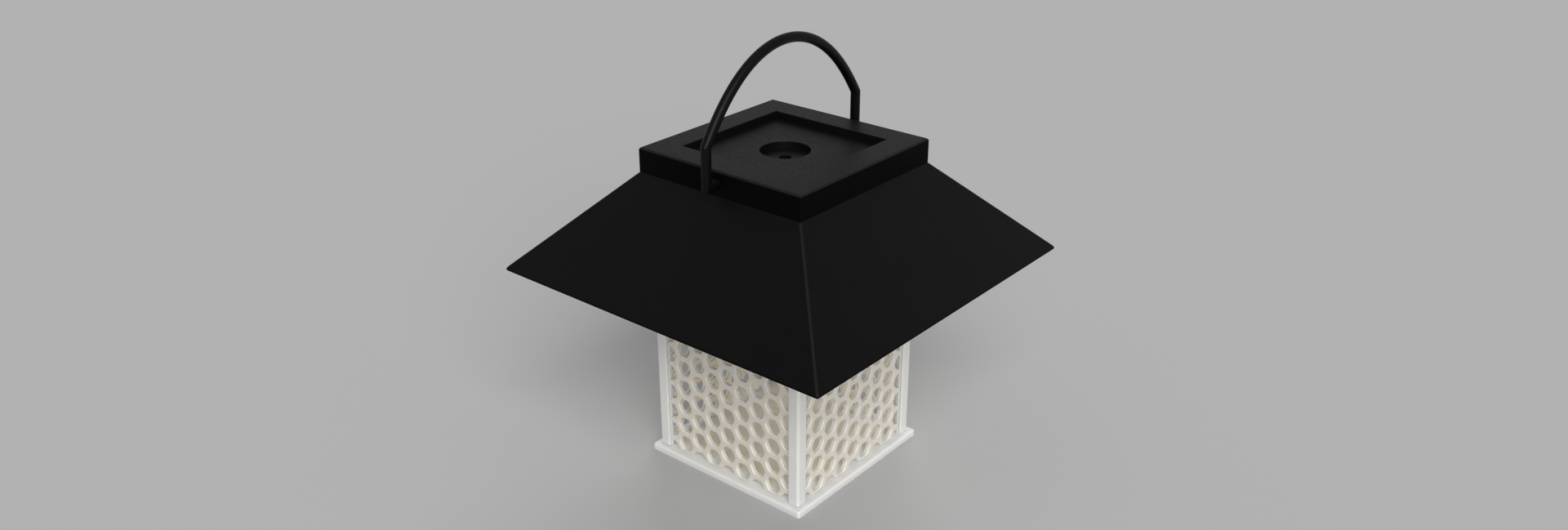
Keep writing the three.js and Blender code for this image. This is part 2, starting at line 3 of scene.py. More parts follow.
import bmesh
import bpy
from mathutils import Matrix, Vector


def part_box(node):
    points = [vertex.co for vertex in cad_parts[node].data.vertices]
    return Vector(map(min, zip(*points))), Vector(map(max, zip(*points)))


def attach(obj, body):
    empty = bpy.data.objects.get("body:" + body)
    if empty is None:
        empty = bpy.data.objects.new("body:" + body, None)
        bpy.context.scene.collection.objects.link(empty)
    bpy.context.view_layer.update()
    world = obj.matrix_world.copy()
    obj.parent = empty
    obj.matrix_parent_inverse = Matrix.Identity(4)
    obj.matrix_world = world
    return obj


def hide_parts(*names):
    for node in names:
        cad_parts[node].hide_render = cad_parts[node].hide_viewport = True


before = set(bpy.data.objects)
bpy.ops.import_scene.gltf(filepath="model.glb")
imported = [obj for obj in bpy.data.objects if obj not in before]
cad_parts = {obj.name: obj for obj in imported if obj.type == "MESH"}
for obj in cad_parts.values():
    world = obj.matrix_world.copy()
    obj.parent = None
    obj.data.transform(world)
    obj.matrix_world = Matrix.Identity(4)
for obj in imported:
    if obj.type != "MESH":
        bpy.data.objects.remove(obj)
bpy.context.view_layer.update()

scene = bpy.context.scene
scene.view_settings.view_transform = "Standard"
mm = 0.001


# Camera: it looks down on the corner between the front and the right panel from about half a metre away,
# as in the photograph.
eye = Vector((302.595, -366.485, 302.728)) * mm
aim = Vector((-0.372, -0.308, 83.804)) * mm
camera_data = bpy.data.cameras.new("camera")
camera_data.sensor_width = 36
camera_data.lens = 29.738
camera_data.clip_start = 0.01
camera_data.clip_end = 50
camera = bpy.data.objects.new("camera", camera_data)
camera.location = eye
camera.rotation_euler = (aim - eye).to_track_quat("-Z", "Y").to_euler()
scene.collection.objects.link(camera)
scene.camera = camera


# Floor and light: a plain grey sweep that runs up to the horizon, a faint even sky and two broad soft
# lights, one from the right and one from behind. The camera sees the sky in the floor's own grey.
backdrop_grey, sky_level = 0.445, 0.305
floor_reach = 6


def join(target, inputs):
    """Links a node's inputs to outputs, and sets those that are given as plain values."""
    for key, value in inputs.items():
        if isinstance(value, bpy.types.NodeSocket):
            target.id_data.links.new(value, target.inputs[key])
        else:
            target.inputs[key].default_value = value


def shader_material(name):
    """A new material, its Principled shader, and a function that adds a node with its inputs and settings."""
    material = bpy.data.materials.new(name)
    material.use_nodes = True
    nodes = material.node_tree.nodes

    def node(kind, inputs=None, **settings):
        made = nodes.new(kind)
        for key, value in settings.items():
            setattr(made, key, value)
        join(made, inputs or {})
        return made

    return material, nodes["Principled BSDF"], node


def between(node, factor, low, high):
    """A colour that goes from low to high with a factor."""
    mixed = node("ShaderNodeMix", {"Factor": factor, "A": (*low, 1), "B": (*high, 1)}, data_type="RGBA")
    return mixed.outputs["Result"]


def noise(node, scale, detail=2.0):
    """A noise that stays with its piece, as it is laid in the object's own space."""
    place = node("ShaderNodeTexCoord").outputs["Object"]
    return node("ShaderNodeTexNoise", {"Vector": place, "Scale": scale, "Detail": detail}).outputs["Fac"]


floor_paint, floor_surface, node = shader_material("floor_paint")
floor_colour = between(node, noise(node, 3.0), (backdrop_grey * 0.996,) * 3, (backdrop_grey * 1.004,) * 3)
join(floor_surface, {"Base Color": floor_colour, "Roughness": 1, "Specular IOR Level": 0})

floor_shape = bmesh.new()
bmesh.ops.create_grid(floor_shape, x_segments=1, y_segments=1, size=floor_reach)
floor_mesh = bpy.data.meshes.new("floor")
floor_shape.to_mesh(floor_mesh)
floor_shape.free()
floor_mesh.materials.append(floor_paint)
floor = bpy.data.objects.new("floor", floor_mesh)
scene.collection.objects.link(floor)

sky = bpy.data.worlds.new("sky")
sky.use_nodes = True
scene.world = sky
sky_tree = sky.node_tree
sky_ray = sky_tree.nodes.new("ShaderNodeLightPath")
seen = sky_ray.outputs["Is Camera Ray"]
for ray in ("Is Glossy Ray", "Is Transmission Ray"):
    either = sky_tree.nodes.new("ShaderNodeMath")
    either.operation = "MAXIMUM"
    join(either, {0: seen, 1: sky_ray.outputs[ray]})
    seen = either.outputs["Value"]
sky_mix = sky_tree.nodes.new("ShaderNodeMix")
sky_mix.data_type = "RGBA"
join(sky_mix, {"Factor": seen, "A": (sky_level,) * 3 + (1,), "B": (backdrop_grey,) * 3 + (1,)})
join(sky_tree.nodes["Background"], {"Color": sky_mix.outputs["Result"]})

for name, turn, height, spread, strength in (("broad_light_right", 50, 35, 45, 2.7),
                                             ("broad_light_back", 204, 20, 50, 1.85)):
    broad_light = bpy.data.lights.new(name, "SUN")
    broad_light.angle = radians(spread)
    broad_light.energy = strength
    towards = Matrix.Rotation(radians(turn), 3, "Z") @ Vector((0, -cos(radians(height)), sin(radians(height))))
    holder = bpy.data.objects.new(name, broad_light)
    holder.rotation_euler = towards.to_track_quat("Z", "Y").to_euler()
    holder.visible_glossy = name == "broad_light_right"
    scene.collection.objects.link(holder)


# Base and posts: one moulding in milky translucent plastic, a square plate with four angle-shaped corner
# posts. Each leg of a post has a groove for a panel, and a screw boss stands inside each post's top.
base_half, base_thick, base_edge = 40, 3, 1
box_half, post_wall, post_lip, post_end, post_low, box_top = 37.5, 3, 1, 32.5, 2.5, 88
groove_end, groove_back, post_edge, leg_edge = 34.3, 35.3, 1, 0.3
boss_in, boss_out, boss_web, boss_low = 28.5, 34.1, 35, 80

# The surface that all moulded plastic here shares: slow clouding, a fine gloss mask and a grain
moulded_skin = bpy.data.node_groups.new("moulded_skin", "ShaderNodeTree")
for name, value in (("Cloud Scale", 40.0), ("Grain Scale", 1200.0), ("Grain Depth", 0.1)):
    moulded_skin.interface.new_socket(name, in_out="INPUT", socket_type="NodeSocketFloat").default_value = value
for name, kind in (("Cloud", "Float"), ("Gloss", "Float"), ("Normal", "Vector")):
    moulded_skin.interface.new_socket(name, in_out="OUTPUT", socket_type="NodeSocket" + kind)
given, coords, clouds, grains, bump, skin_out = [moulded_skin.nodes.new(kind) for kind in (
    "NodeGroupInput", "ShaderNodeTexCoord", "ShaderNodeTexNoise", "ShaderNodeTexNoise", "ShaderNodeBump",
    "NodeGroupOutput")]
join(clouds, {"Vector": coords.outputs["Object"], "Scale": given.outputs["Cloud Scale"], "Detail": 4})
join(grains, {"Vector": coords.outputs["Object"], "Scale": given.outputs["Grain Scale"]})
join(bump, {"Height": grains.outputs["Fac"], "Strength": given.outputs["Grain Depth"], "Distance": 0.05 * mm})
join(skin_out, {"Cloud": clouds.outputs["Fac"], "Gloss": grains.outputs["Fac"], "Normal": bump.outputs["Normal"]})


def vary_gloss(surface, node, factor, smooth, rough, start=0.0, end=1.0):
    """Lets a surface's roughness follow a factor between a start and an end."""
    gloss = node("ShaderNodeMapRange", {"Value": factor, "From Min": start, "From Max": end, "To Min": smooth,
                                        "To Max": rough})
    join(surface, {"Roughness": gloss.outputs["Result"]})


def roughen(surface, node, height, strength, depth):
    """Lets a surface's relief follow a height, as deep as a depth in millimetres."""
    relief = node("ShaderNodeBump", {"Height": height, "Strength": strength, "Distance": depth * mm})
    join(surface, {"Normal": relief.outputs["Normal"]})


def grain(surface, node, smooth, rough):
    """Gives a surface the moulded skin's gloss and grain, and gives back the skin."""
    skin = node("ShaderNodeGroup", node_tree=moulded_skin)
    vary_gloss(surface, node, skin.outputs["Gloss"], smooth, rough, 0.3, 0.7)
    join(surface, {"Normal": skin.outputs["Normal"]})
    return skin


def moulded_plastic(name, dull, bright, rough_low, rough_high, grain_depth=0.1, cloud_scale=40.0):
    """A moulded plastic whose colour clouds between two tones and whose gloss varies with its grain."""
    material, surface, node = shader_material(name)
    skin = grain(surface, node, rough_low, rough_high)
    join(skin, {"Grain Depth": grain_depth, "Cloud Scale": cloud_scale})
    join(surface, {"Base Color": between(node, skin.outputs["Cloud"], dull, bright)})
    return material, surface


def milky_plastic(name, tones, soak):
    """Milky plastic that light soaks into, by about the given depth. Its tones are (distance from the box's
    middle, colour): a cool white outside, and a warm cream inside that is painted shade, the tone of light that
    has come through the plastic."""
    material, surface, node = shader_material(name)
    skin = grain(surface, node, 0.4, 0.55)
    where = node("ShaderNodeSeparateXYZ", {"Vector": node("ShaderNodeTexCoord").outputs["Object"]}).outputs
    across = [node("ShaderNodeMath", {0: where[axis]}, operation="ABSOLUTE").outputs[0] for axis in "XY"]
    farther = node("ShaderNodeMath", {0: across[0], 1: across[1]}, operation="MAXIMUM").outputs[0]
    inner, outer = tones[0][0], tones[-1][0]
    footing_top, footing_low = 2.9, 1.5
    # The nearer a point lies to the box's middle, the more of the painted shade cream it takes
    wall = node("ShaderNodeMapRange", {"Value": farther, "From Min": inner * mm, "From Max": outer * mm})
    footing = node("ShaderNodeMapRange", {"Value": where["Z"], "From Min": footing_top * mm,
                                          "From Max": footing_low * mm})
    depth = node("ShaderNodeMath", {0: wall.outputs["Result"], 1: footing.outputs["Result"]}, operation="MAXIMUM")
    ramp = node("ShaderNodeValToRGB", {"Fac": depth.outputs[0]})
    for stop in range(1, len(tones) - 1):
        ramp.color_ramp.elements.new(stop / len(tones))
    for element, (place, colour) in zip(ramp.color_ramp.elements, tones):
        element.position = (place - inner) / (outer - inner)
        element.color = (*colour, 1)
    clouds = between(node, skin.outputs["Cloud"], (0.97,) * 3, (1.03,) * 3)
    colour = node("ShaderNodeVectorMath", {0: ramp.outputs["Color"], 1: clouds}, operation="MULTIPLY")
    join(surface, {"Base Color": colour.outputs["Vector"], "Subsurface Weight": 1, "IOR": 1.45,
                   "Subsurface Radius": (1.0, 0.8, 0.6), "Subsurface Scale": soak * mm})
    return material


def block(shape, low, high):
    """Adds a box between two corners given in millimetres, and gives back its vertices."""
    low, high = Vector(low) * mm, Vector(high) * mm
    size = Matrix.Diagonal((*(high - low), 1))
    return bmesh.ops.create_cube(shape, size=1, matrix=Matrix.Translation((low + high) / 2) @ size)["verts"]


def square_block(shape, half, low, high):
    return block(shape, (-half, -half, low), (half, half, high))


def edges_where(shape, test):
    """Edges whose two ends, in millimetres, pass a test together."""
    return [edge for edge in shape.edges if test(*(v.co / mm for v in edge.verts))]


def edges_at(shape, test):
    """Edges whose ends, in millimetres, each pass a test."""
    return edges_where(shape, lambda a, b: test(a) and test(b))


def reach(point):
    """How far a point is from the upright middle line, measured square to the faces."""
    return max(abs(point.x), abs(point.y))


def verts_in(parts):
    return [part for part in parts if isinstance(part, bmesh.types.BMVert)]


def upright(a, b):
    return abs(a.x - b.x) < 0.01 and abs(a.y - b.y) < 0.01


def soften(shape, edges, width, steps=3, clamp=True):
    bmesh.ops.bevel(shape, geom=edges, offset=width * mm, segments=steps, profile=0.5, material=-1,
                    affect="EDGES", clamp_overlap=clamp)


def soften_sharp(shape, width, steps=2, angle=40):
    """Rounds every edge of a shape that is sharper than an angle."""
    sharp = [e for e in shape.edges if len(e.link_faces) == 2 and e.calc_face_angle(0) > radians(angle)]
    soften(shape, sharp, width, steps)


def turn_outward(shape):
    bmesh.ops.recalc_face_normals(shape, faces=shape.faces)


def add_part(shape, part, *places, material=None):
    """Adds a finished part to a shape at each of the given places, in a material of the piece's list."""
    turn_outward(part)
    for face in part.faces if material else []:
        face.material_index = material
    for place in places or [Matrix()]:
        loose = bpy.data.meshes.new("part")
        part.to_mesh(loose)
        loose.transform(place)
        shape.from_mesh(loose)
        bpy.data.meshes.remove(loose)
    part.free()


quarter_turns = [Matrix.Rotation(turn * pi / 2, 4, "Z") for turn in range(4)]


def finish_piece(shape, name, body, slot, nodes, *materials, crease=35):
    """Makes a modelled shape an object that rides on a body and stands for CAD nodes. The slot it is given is not
    used.
    """
    mesh = bpy.data.meshes.new(name)
    shape.to_mesh(mesh)
    shape.free()
    for material in materials:
        mesh.materials.append(material)
    mesh.shade_smooth()
    mesh.set_sharp_from_angle(angle=radians(crease))
    piece = bpy.data.objects.new(name, mesh)
    scene.collection.objects.link(piece)
    even = piece.modifiers.new("even_normals", "WEIGHTED_NORMAL")
    even.keep_sharp = True
    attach(piece, body)
    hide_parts(*nodes)


# The cream is painted shade: the warm tone the inside of the box takes, where only light that has come through the
# plastic reaches
painted_shade_cream = (0.90, 0.845, 0.72)
frame_plastic = milky_plastic("milky_frame_plastic", [(28, painted_shade_cream), (34, (0.765, 0.76, 0.74))], 1.2)
frame_shape = bmesh.new()
square_block(frame_shape, base_half, 0, base_thick)
soften(frame_shape, edges_where(frame_shape, upright), base_edge, 4)
soften(frame_shape, edges_at(frame_shape, lambda end: end.z > base_thick - 0.1), base_edge * 0.95, 4)
soften(frame_shape, edges_at(frame_shape, lambda end: end.z < 0.1), 0.2, 2)

post = bmesh.new()
leg = [(post_end, box_half), (post_end, box_half - post_lip), (groove_end, box_half - post_lip),
       (groove_end, groove_back), (post_end, groove_back), (post_end, box_half - post_wall)]
outline = [*leg, (box_half - post_wall,) * 2, *[(y, x) for x, y in reversed(leg)], (box_half,) * 2]
post_foot = post.faces.new([post.verts.new((x * mm, y * mm, post_low * mm)) for x, y in outline])
raised = bmesh.ops.extrude_face_region(post, geom=[post_foot], use_keep_orig=True)["geom"]
bmesh.ops.translate(post, verts=verts_in(raised), vec=(0, 0, (box_top - post_low) * mm))
turn_outward(post)
soften(post, edges_where(post, lambda a, b: upright(a, b) and min(a.x, a.y) > box_half - 0.1),
       post_edge, 5)
soften(post, edges_where(post, lambda a, b: upright(a, b) and min(a.x, a.y) < post_end + 0.1
                         and max(a.x, a.y) > box_half - 0.1), leg_edge, 3)
add_part(frame_shape, post, *quarter_turns)
boss = bmesh.new()
block(boss, (boss_in, boss_in, boss_low), (boss_out, boss_out, box_top))
block(boss, (post_end, post_end, boss_low), (boss_web, boss_web, box_top))
soften_sharp(boss, leg_edge)
add_part(frame_shape, boss, *quarter_turns)
finish_piece(frame_shape, "base_and_posts", "lamp", "milky", ["base_frame"], frame_plastic)


# Side panels: four flat plates in the same milky plastic, pierced with a honeycomb of hexagons that runs
# out under the posts. Each slides down between two posts on thin tongues and stands on the base plate.
panel_front, panel_thick, tongue_thick, bore_corner, bore_rim = 36.4, 2, 1, 1.3, 0.25
plate_half, tongue_half, window_top = 32.2, 33.9, 83
hole_flats, hole_pitch, column_pitch, pattern_middle = 7, 9, 7.875, 43
# Through each bore the tones run from the painted shade cream on the inner face, through the bore tone, to a band
# painted bright as a highlight near the front rim, and then the web tone of the front face
panel_tone, hole_tone, painted_highlight_tone = (0.73, 0.695, 0.615), (0.71, 0.675, 0.60), (0.88, 0.88, 0.90)
panel_plastic = milky_plastic("milky_panel_plastic", [
    (34.45, painted_shade_cream), (34.9, hole_tone), (35.5, hole_tone), (35.95, painted_highlight_tone), (36.28, painted_highlight_tone),
    (36.38, panel_tone)], 1.2)


def whole(shape):
    return shape.verts[:] + shape.edges[:] + shape.faces[:]


def merge(shape, apart=0.001):
    """Merges vertices that are closer than a distance in millimetres."""
    bmesh.ops.remove_doubles(shape, verts=shape.verts, dist=apart * mm)


def at(x, y, z):
    return Matrix.Translation(Vector((x, y, z)) * mm)


# One cell of the honeycomb is a hexagon with its hole, and the plate is copies of it, trimmed to the window
panel = bmesh.new()
cell_radius = hole_pitch / 2 / cos(pi / 6)
bmesh.ops.create_circle(panel, cap_ends=True, segments=6, radius=cell_radius * mm,
                        matrix=Matrix.Rotation(pi / 2, 4, "Z"))
bmesh.ops.inset_region(panel, faces=panel.faces[:], thickness=(hole_pitch - hole_flats) / 2 * mm,
                       use_even_offset=True, use_boundary=True)
bmesh.ops.delete(panel, geom=[f for f in panel.faces if len(f.verts) == 6], context="FACES_ONLY")
bmesh.ops.scale(panel, verts=panel.verts, vec=(column_pitch / (1.5 * cell_radius), 1, 1))
cell = whole(panel)
for column in range(-4, 5):
    for row in range(-5, 5):
        middle = pattern_middle + row * hole_pitch + (0 if column % 2 else hole_pitch / 2)
        copied = bmesh.ops.duplicate(panel, geom=cell)["geom"]
        bmesh.ops.translate(panel, verts=verts_in(copied), vec=(column * column_pitch * mm, middle * mm, 0))
bmesh.ops.delete(panel, geom=verts_in(cell), context="VERTS")
merge(panel, 0.01)
for place, outward in (((plate_half, 0, 0), (1, 0, 0)), ((-plate_half, 0, 0), (-1, 0, 0)),
                       ((0, window_top, 0), (0, 1, 0)), ((0, base_thick, 0), (0, -1, 0))):
    bmesh.ops.bisect_plane(panel, geom=whole(panel), plane_co=Vector(place) * mm, plane_no=outward,
                           clear_outer=True)
thick = bmesh.ops.extrude_face_region(panel, geom=panel.faces[:], use_keep_orig=True)["geom"]
bmesh.ops.translate(panel, verts=verts_in(thick), vec=(0, 0, -panel_thick * mm))
turn_outward(panel)
soften(panel, [edge for edge in panel.edges if abs(edge.verts[0].co.z - edge.verts[1].co.z) > 1 * mm
               and edge.calc_face_angle(0) > radians(50)], bore_corner, 2)
soften_sharp(panel, bore_rim, 2, 60)
bmesh.ops.transform(panel, verts=panel.verts, matrix=at(0, -panel_front, 0) @ Matrix.Rotation(pi / 2, 4, "X"))
rail = bmesh.new()
block(rail, (-plate_half, -panel_front, window_top), (plate_half, panel_thick - panel_front, box_top))
for side in (-1, 1):
    ends = sorted((side * plate_half, side * tongue_half))
    block(rail, (ends[0], -panel_front, base_thick), (ends[1], tongue_thick - panel_front, box_top))
add_part(panel, rail)
for turn, side_name in zip(quarter_turns, ("front", "right", "back", "left")):
    side_panel = bmesh.new()
    add_part(side_panel, panel.copy(), turn)
    finish_piece(side_panel, "honeycomb_" + side_name, "lamp", "milky", ["grille_panel_" + side_name],
                 panel_plastic)
panel.free()


# Light diffuser: a frosted cup with a round bottom, pushed over the ring under the gear tray. It spreads
# the lamp's light through the box.
cup_radius, cup_wall, cup_mouth, cup_bottom = 12.5, 1.2, 87.7, 71.7


def turned(shape, profile, steps=32, place=Matrix(), material=0):
    """Spins an outline of [radius, height] points, in millimetres, round its axis and puts it in place."""
    part = bmesh.new()
    chain = [part.verts.new((radius * mm, 0, height * mm)) for radius, height in profile]
    chain += [part.edges.new(pair) for pair in zip(chain, chain[1:])]
    bmesh.ops.spin(part, geom=chain, axis=(0, 0, 1), cent=(0, 0, 0), angle=2 * pi, steps=steps, use_merge=True)
    merge(part)
    add_part(shape, part, place, material=material)


def arc(radius, height, size, start, end, steps=6):
    """Points of an arc in a profile, about a centre at a radius and a height, between two angles."""
    turns = [radians(start + (end - start) * step / steps) for step in range(steps + 1)]
    return [(radius + size * cos(turn), height + size * sin(turn)) for turn in turns]


frosted, frosted_surface = moulded_plastic("frosted_cup", (0.82, 0.82, 0.78), (0.9, 0.9, 0.87), 0.42, 0.6, 0.3)
join(frosted_surface, {"Transmission Weight": 0.35, "Subsurface Weight": 0.6,
                       "Subsurface Radius": (1.0, 0.9, 0.7), "Subsurface Scale": 1.5 * mm})
cup_middle = cup_bottom + cup_radius
cup_shape = bmesh.new()
turned(cup_shape, [*arc(0, cup_middle, cup_radius, -90, 0, 12),
                   *arc(cup_radius - 0.3, cup_mouth - 0.3, 0.3, 0, 90, 3),
                   *arc(cup_radius - cup_wall + 0.3, cup_mouth - 0.3, 0.3, 90, 180, 3),
                   *arc(0, cup_middle, cup_radius - cup_wall, 0, -90, 12)], 48)
finish_piece(cup_shape, "diffuser_cup", "lamp", "frosted", ["led_diffuser"], frosted)


# Gear tray: a square tub in black plastic that stands on the lamp box and closes it. It has four screw
# ears with gussets, the ring for the diffuser, two pillars for the board and a shelf for the switch.
def black_plastic(name, tone, rough_low, rough_high, grain_depth=0.15, shine=0.1):
    """Black moulded plastic, faintly uneven in tone, with the satin grain of an etched mould."""
    material, surface = moulded_plastic(name, (tone * 0.8,) * 3, (tone * 1.25,) * 3, rough_low, rough_high,
                                        grain_depth, 60.0)
    join(surface, {"Specular IOR Level": shine})
    return material


# So intricate a moulding keeps the CAD's own shape, merged, cleaned and with its edges rounded
tray_plastic = black_plastic("black_tray_plastic", 0.004, 0.4, 0.55)
tray_shape = bmesh.new()
tray_shape.from_mesh(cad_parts["electronics_tray"].data)
merge(tray_shape, 0.002)
bmesh.ops.dissolve_limit(tray_shape, angle_limit=radians(1), verts=tray_shape.verts, edges=tray_shape.edges)
soften_sharp(tray_shape, 0.25)
finish_piece(tray_shape, "gear_tray", "lamp", "black_plastic", ["electronics_tray"], tray_plastic)


# Frame screws: four pan-head screws in zinc-plated steel, driven down through the tray's floor into the
# posts' bosses. They hold the tray on the lamp box.
head_radius, head_height, shank_radius, thread_pitch = 2.3, 1.7, 1.2, 0.9
recess_half, recess_depth, recess_taper = 0.9, 1.1, 0.7


def plated_steel(name, dull=(0.42, 0.43, 0.44), bright=(0.62, 0.63, 0.64), rough=0.32):
    """Plated steel: a cool metal with faint stains and fine handling marks."""
    material, surface, node = shader_material(name)
    join(surface, {"Base Color": between(node, noise(node, 350.0, 4.0), dull, bright), "Metallic": 1})
    marks = noise(node, 2500.0)
    vary_gloss(surface, node, marks, rough - 0.08, rough + 0.14)
    roughen(surface, node, marks, 0.1, 0.03)
    return material


screw_steel = plated_steel("screw_steel")


def pan_screw(name, node_name, x, y, seat, length, up=False):
    """A self-tapping pan-head screw with a cross recess, its head's seat at a height, driven up or down."""
    shape = bmesh.new()
    thread = [(shank_radius - 0.25 * (step % 2), step * thread_pitch / 2)
              for step in range(int((length - 1.5) / thread_pitch * 2))]
    turned(shape, [(1.4, -head_height), *arc(head_radius - 1.1, -head_height + 1.1, 1.1, -70, 0, 4),
                   (head_radius, -0.15), (head_radius - 0.15, 0), *thread,
                   (shank_radius - 0.3, length - 1.2), (0, length)], 20)
    recess = bmesh.new()
    bmesh.ops.create_grid(recess, x_segments=3, y_segments=3, size=recess_half * mm)
    for vert in recess.verts:
        vert.co.x *= 0.75 if abs(vert.co.x) < 0.5 * mm else 1
        vert.co.y *= 0.75 if abs(vert.co.y) < 0.5 * mm else 1
    cross = [f for f in recess.faces if min(abs(c) for c in f.calc_center_median()[:2]) < 0.1 * mm]
    rims = {edge for face in cross for edge in face.edges}
    sunk = verts_in(bmesh.ops.extrude_face_region(recess, geom=[*cross, *rims])["geom"])
    bmesh.ops.translate(recess, verts=sunk, vec=(0, 0, recess_depth * mm))
    bmesh.ops.scale(recess, verts=sunk, vec=(recess_taper, recess_taper, 1))
    add_part(shape, recess, at(0, 0, -head_height))
    bmesh.ops.triangle_fill(shape, use_beauty=True, edges=[e for e in shape.edges if e.is_boundary],
                            normal=(0, 0, -1))
    turn_outward(shape)
    bmesh.ops.transform(shape, verts=shape.verts, matrix=at(x, y, seat) @ Matrix.Rotation(0 if up else pi, 4, "X"))
    finish_piece(shape, name, "lamp", "steel", [node_name], screw_steel)


def four_screws(name, node_name, spots, out, seat, length, up=False):
    """Drives four screws at spots that are a distance out from the middle along X and Y."""
    for number, (x, y) in enumerate(spots, 1):
        pan_screw(f"{name}_{number}", f"{node_name}_{number}", x * out, y * out, seat, length, up)


tray_floor, frame_screw_place, frame_screw_length = 90, 31.5, 9
corners = ((1, 1), (-1, 1), (-1, -1), (1, -1))
four_screws("post_screw", "frame_screw", corners, frame_screw_place, tray_floor, frame_screw_length)


# Battery holder: an open trough in black plastic on the tray's floor, with a spring and a contact plate
# at one end and a contact plate at the other.
holder_wall, tab_half, tab_height, tab_edge = 1.5, 1.6, 2.4, 0.8


def cad_corners(node_name):
    """The lowest and the highest corner of a CAD node, in millimetres."""
    return [Vector(corner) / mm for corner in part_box(node_name)]


def picked_face(shape, direction):
    """The largest face of a shape that looks in a direction and lies furthest out that way."""
    shape.normal_update()
    direction = Vector(direction)
    facing = [f for f in shape.faces if f.normal.dot(direction) > 0.99]
    return max(facing, key=lambda f: (round(f.calc_center_median().dot(direction), 6), f.calc_area()))


def inset(shape, face, width):
    bmesh.ops.inset_region(shape, faces=[face], thickness=width * mm, use_even_offset=True)


def push_faces(shape, faces, move, size=1):
    """Extrudes faces by a move in millimetres, scales what moved about the upright axis, gives it back."""
    rims = {edge for face in faces for edge in face.edges}
    grown = bmesh.ops.extrude_face_region(shape, geom=[*faces, *rims])["geom"]
    verts = verts_in(grown)
    bmesh.ops.translate(shape, verts=verts, vec=Vector(move) * mm)
    bmesh.ops.scale(shape, verts=verts, vec=(size, size, 1))
    return [part for part in grown if isinstance(part, bmesh.types.BMFace)]


def hollow_out(shape, direction, wall, move):
    """Sinks the face that looks in a direction, all but a wall along its border, by a move."""
    face = picked_face(shape, direction)
    inset(shape, face, wall)
    push_faces(shape, [face], move)
    turn_outward(shape)


def soft_block(low, high, edge, steps=2, hollow=None):
    """A new block with rounded edges, sunk as hollow_out does with the values given for it."""
    shape = bmesh.new()
    block(shape, low, high)
    if hollow:
        hollow_out(shape, *hollow)
    soften_sharp(shape, edge, steps)
    return shape


holder_plastic = black_plastic("black_holder_plastic", 0.008, 0.5, 0.62, 0.25)
holder_low, holder_high = cad_corners("battery_holder")
holder_sunk = (0, 0, 1), holder_wall, (0, 0, holder_low.z - holder_high.z + holder_wall)
holder_shape = soft_block(holder_low, holder_high, 0.4, 3, holder_sunk)
finish_piece(holder_shape, "battery_trough", "lamp", "holder_plastic", ["battery_holder"], holder_plastic)

contact_steel = plated_steel("nickel_contact", (0.5, 0.48, 0.43), (0.7, 0.68, 0.62), 0.26)
for end, label in ((-1, "minus"), (1, "plus")):
    low, high = cad_corners("battery_contact_" + label)
    contact_shape = bmesh.new()
    plate_top, middle = high.z - tab_height, (low.y + high.y) / 2
    block(contact_shape, low, (high.x, high.y, plate_top))
    block(contact_shape, (low.x, middle - tab_half, plate_top - 0.6), (high.x, middle + tab_half, high.z))
    soften(contact_shape, edges_where(contact_shape, lambda a, b: abs(a.x - b.x) > 0.1
                                      and max(a.z, b.z) > plate_top - 0.2), tab_edge, 4)
    finish_piece(contact_shape, "contact_plate_" + label, "lamp", "steel", ["battery_contact_" + label],
                 contact_steel)

# The cone spring is one wire wound in three turns that narrow towards the cell
spring_start, spring_end, spring_turns, spring_wide, spring_taper, spring_wire = -26.25, -24.85, 3, 4.6, 2, 0.25
cell_y, cell_z = -17.9, 98.9


def round_wire(points, radius, smooth=False, detail=4):
    """The mesh of a round wire that runs through points in millimetres, with closed ends."""
    line = bpy.data.curves.new("wire", "CURVE")
    line.dimensions = "3D"
    line.bevel_depth = radius * mm
    line.bevel_resolution = detail
    line.use_fill_caps = True
    if smooth:
        spline = line.splines.new("BEZIER")
        spline.bezier_points.add(len(points) - 1)
        for knot, point in zip(spline.bezier_points, points):
            knot.co = Vector(point) * mm
            knot.handle_left_type = knot.handle_right_type = "AUTO"
        spline.resolution_u = 10
    else:
        spline = line.splines.new("POLY")
        spline.points.add(len(points) - 1)
        for knot, point in zip(spline.points, points):
            knot.co = (*(Vector(point) * mm), 1)
    holder = bpy.data.objects.new("wire", line)
    scene.collection.objects.link(holder)
    mesh = bpy.data.meshes.new_from_object(holder.evaluated_get(bpy.context.evaluated_depsgraph_get()))
    bpy.data.objects.remove(holder)
    bpy.data.curves.remove(line)
    shape = bmesh.new()
    shape.from_mesh(mesh)
    bpy.data.meshes.remove(mesh)
    merge(shape)
    turn_outward(shape)
    return shape


spring_points, spring_steps = [], spring_turns * 28
for step in range(spring_steps + 1):
    share = step / spring_steps
    turn = 2 * pi * spring_turns * share
    width = spring_wide - spring_taper * share
    spring_points.append((spring_start + (spring_end - spring_start) * share,
                          cell_y + width * cos(turn), cell_z + width * sin(turn)))
finish_piece(round_wire(spring_points, spring_wire), "cone_spring", "lamp", "steel", ["battery_spring"],
             contact_steel)


# Battery cell: a small rechargeable cell in a shrunk plastic sleeve, with bare steel ends and a nub. It
# lies in the trough between the spring and the plus contact.
battery_radius, cell_start, cell_length, nub_radius, nub_length = 7.1, -24.3, 49.2, 2.7, 1.3
sleeve_lap, sleeve_fold, band_start = 1.2, 0.7, 14
sleeve, sleeve_surface, node = shader_material("cell_sleeve")
along = node("ShaderNodeSeparateXYZ", {"Vector": node("ShaderNodeTexCoord").outputs["Object"]}).outputs["X"]
sleeve_band = node("ShaderNodeMath", {0: along, 1: band_start * mm}, operation="GREATER_THAN").outputs["Value"]
join(sleeve_surface, {"Base Color": between(node, sleeve_band, (0.11, 0.26, 0.15), (0.52, 0.53, 0.5))})
sleeve_wrinkle = noise(node, 260.0, 3.0)
roughen(sleeve_surface, node, sleeve_wrinkle, 0.15, 0.1)
vary_gloss(sleeve_surface, node, sleeve_wrinkle, 0.25, 0.42)
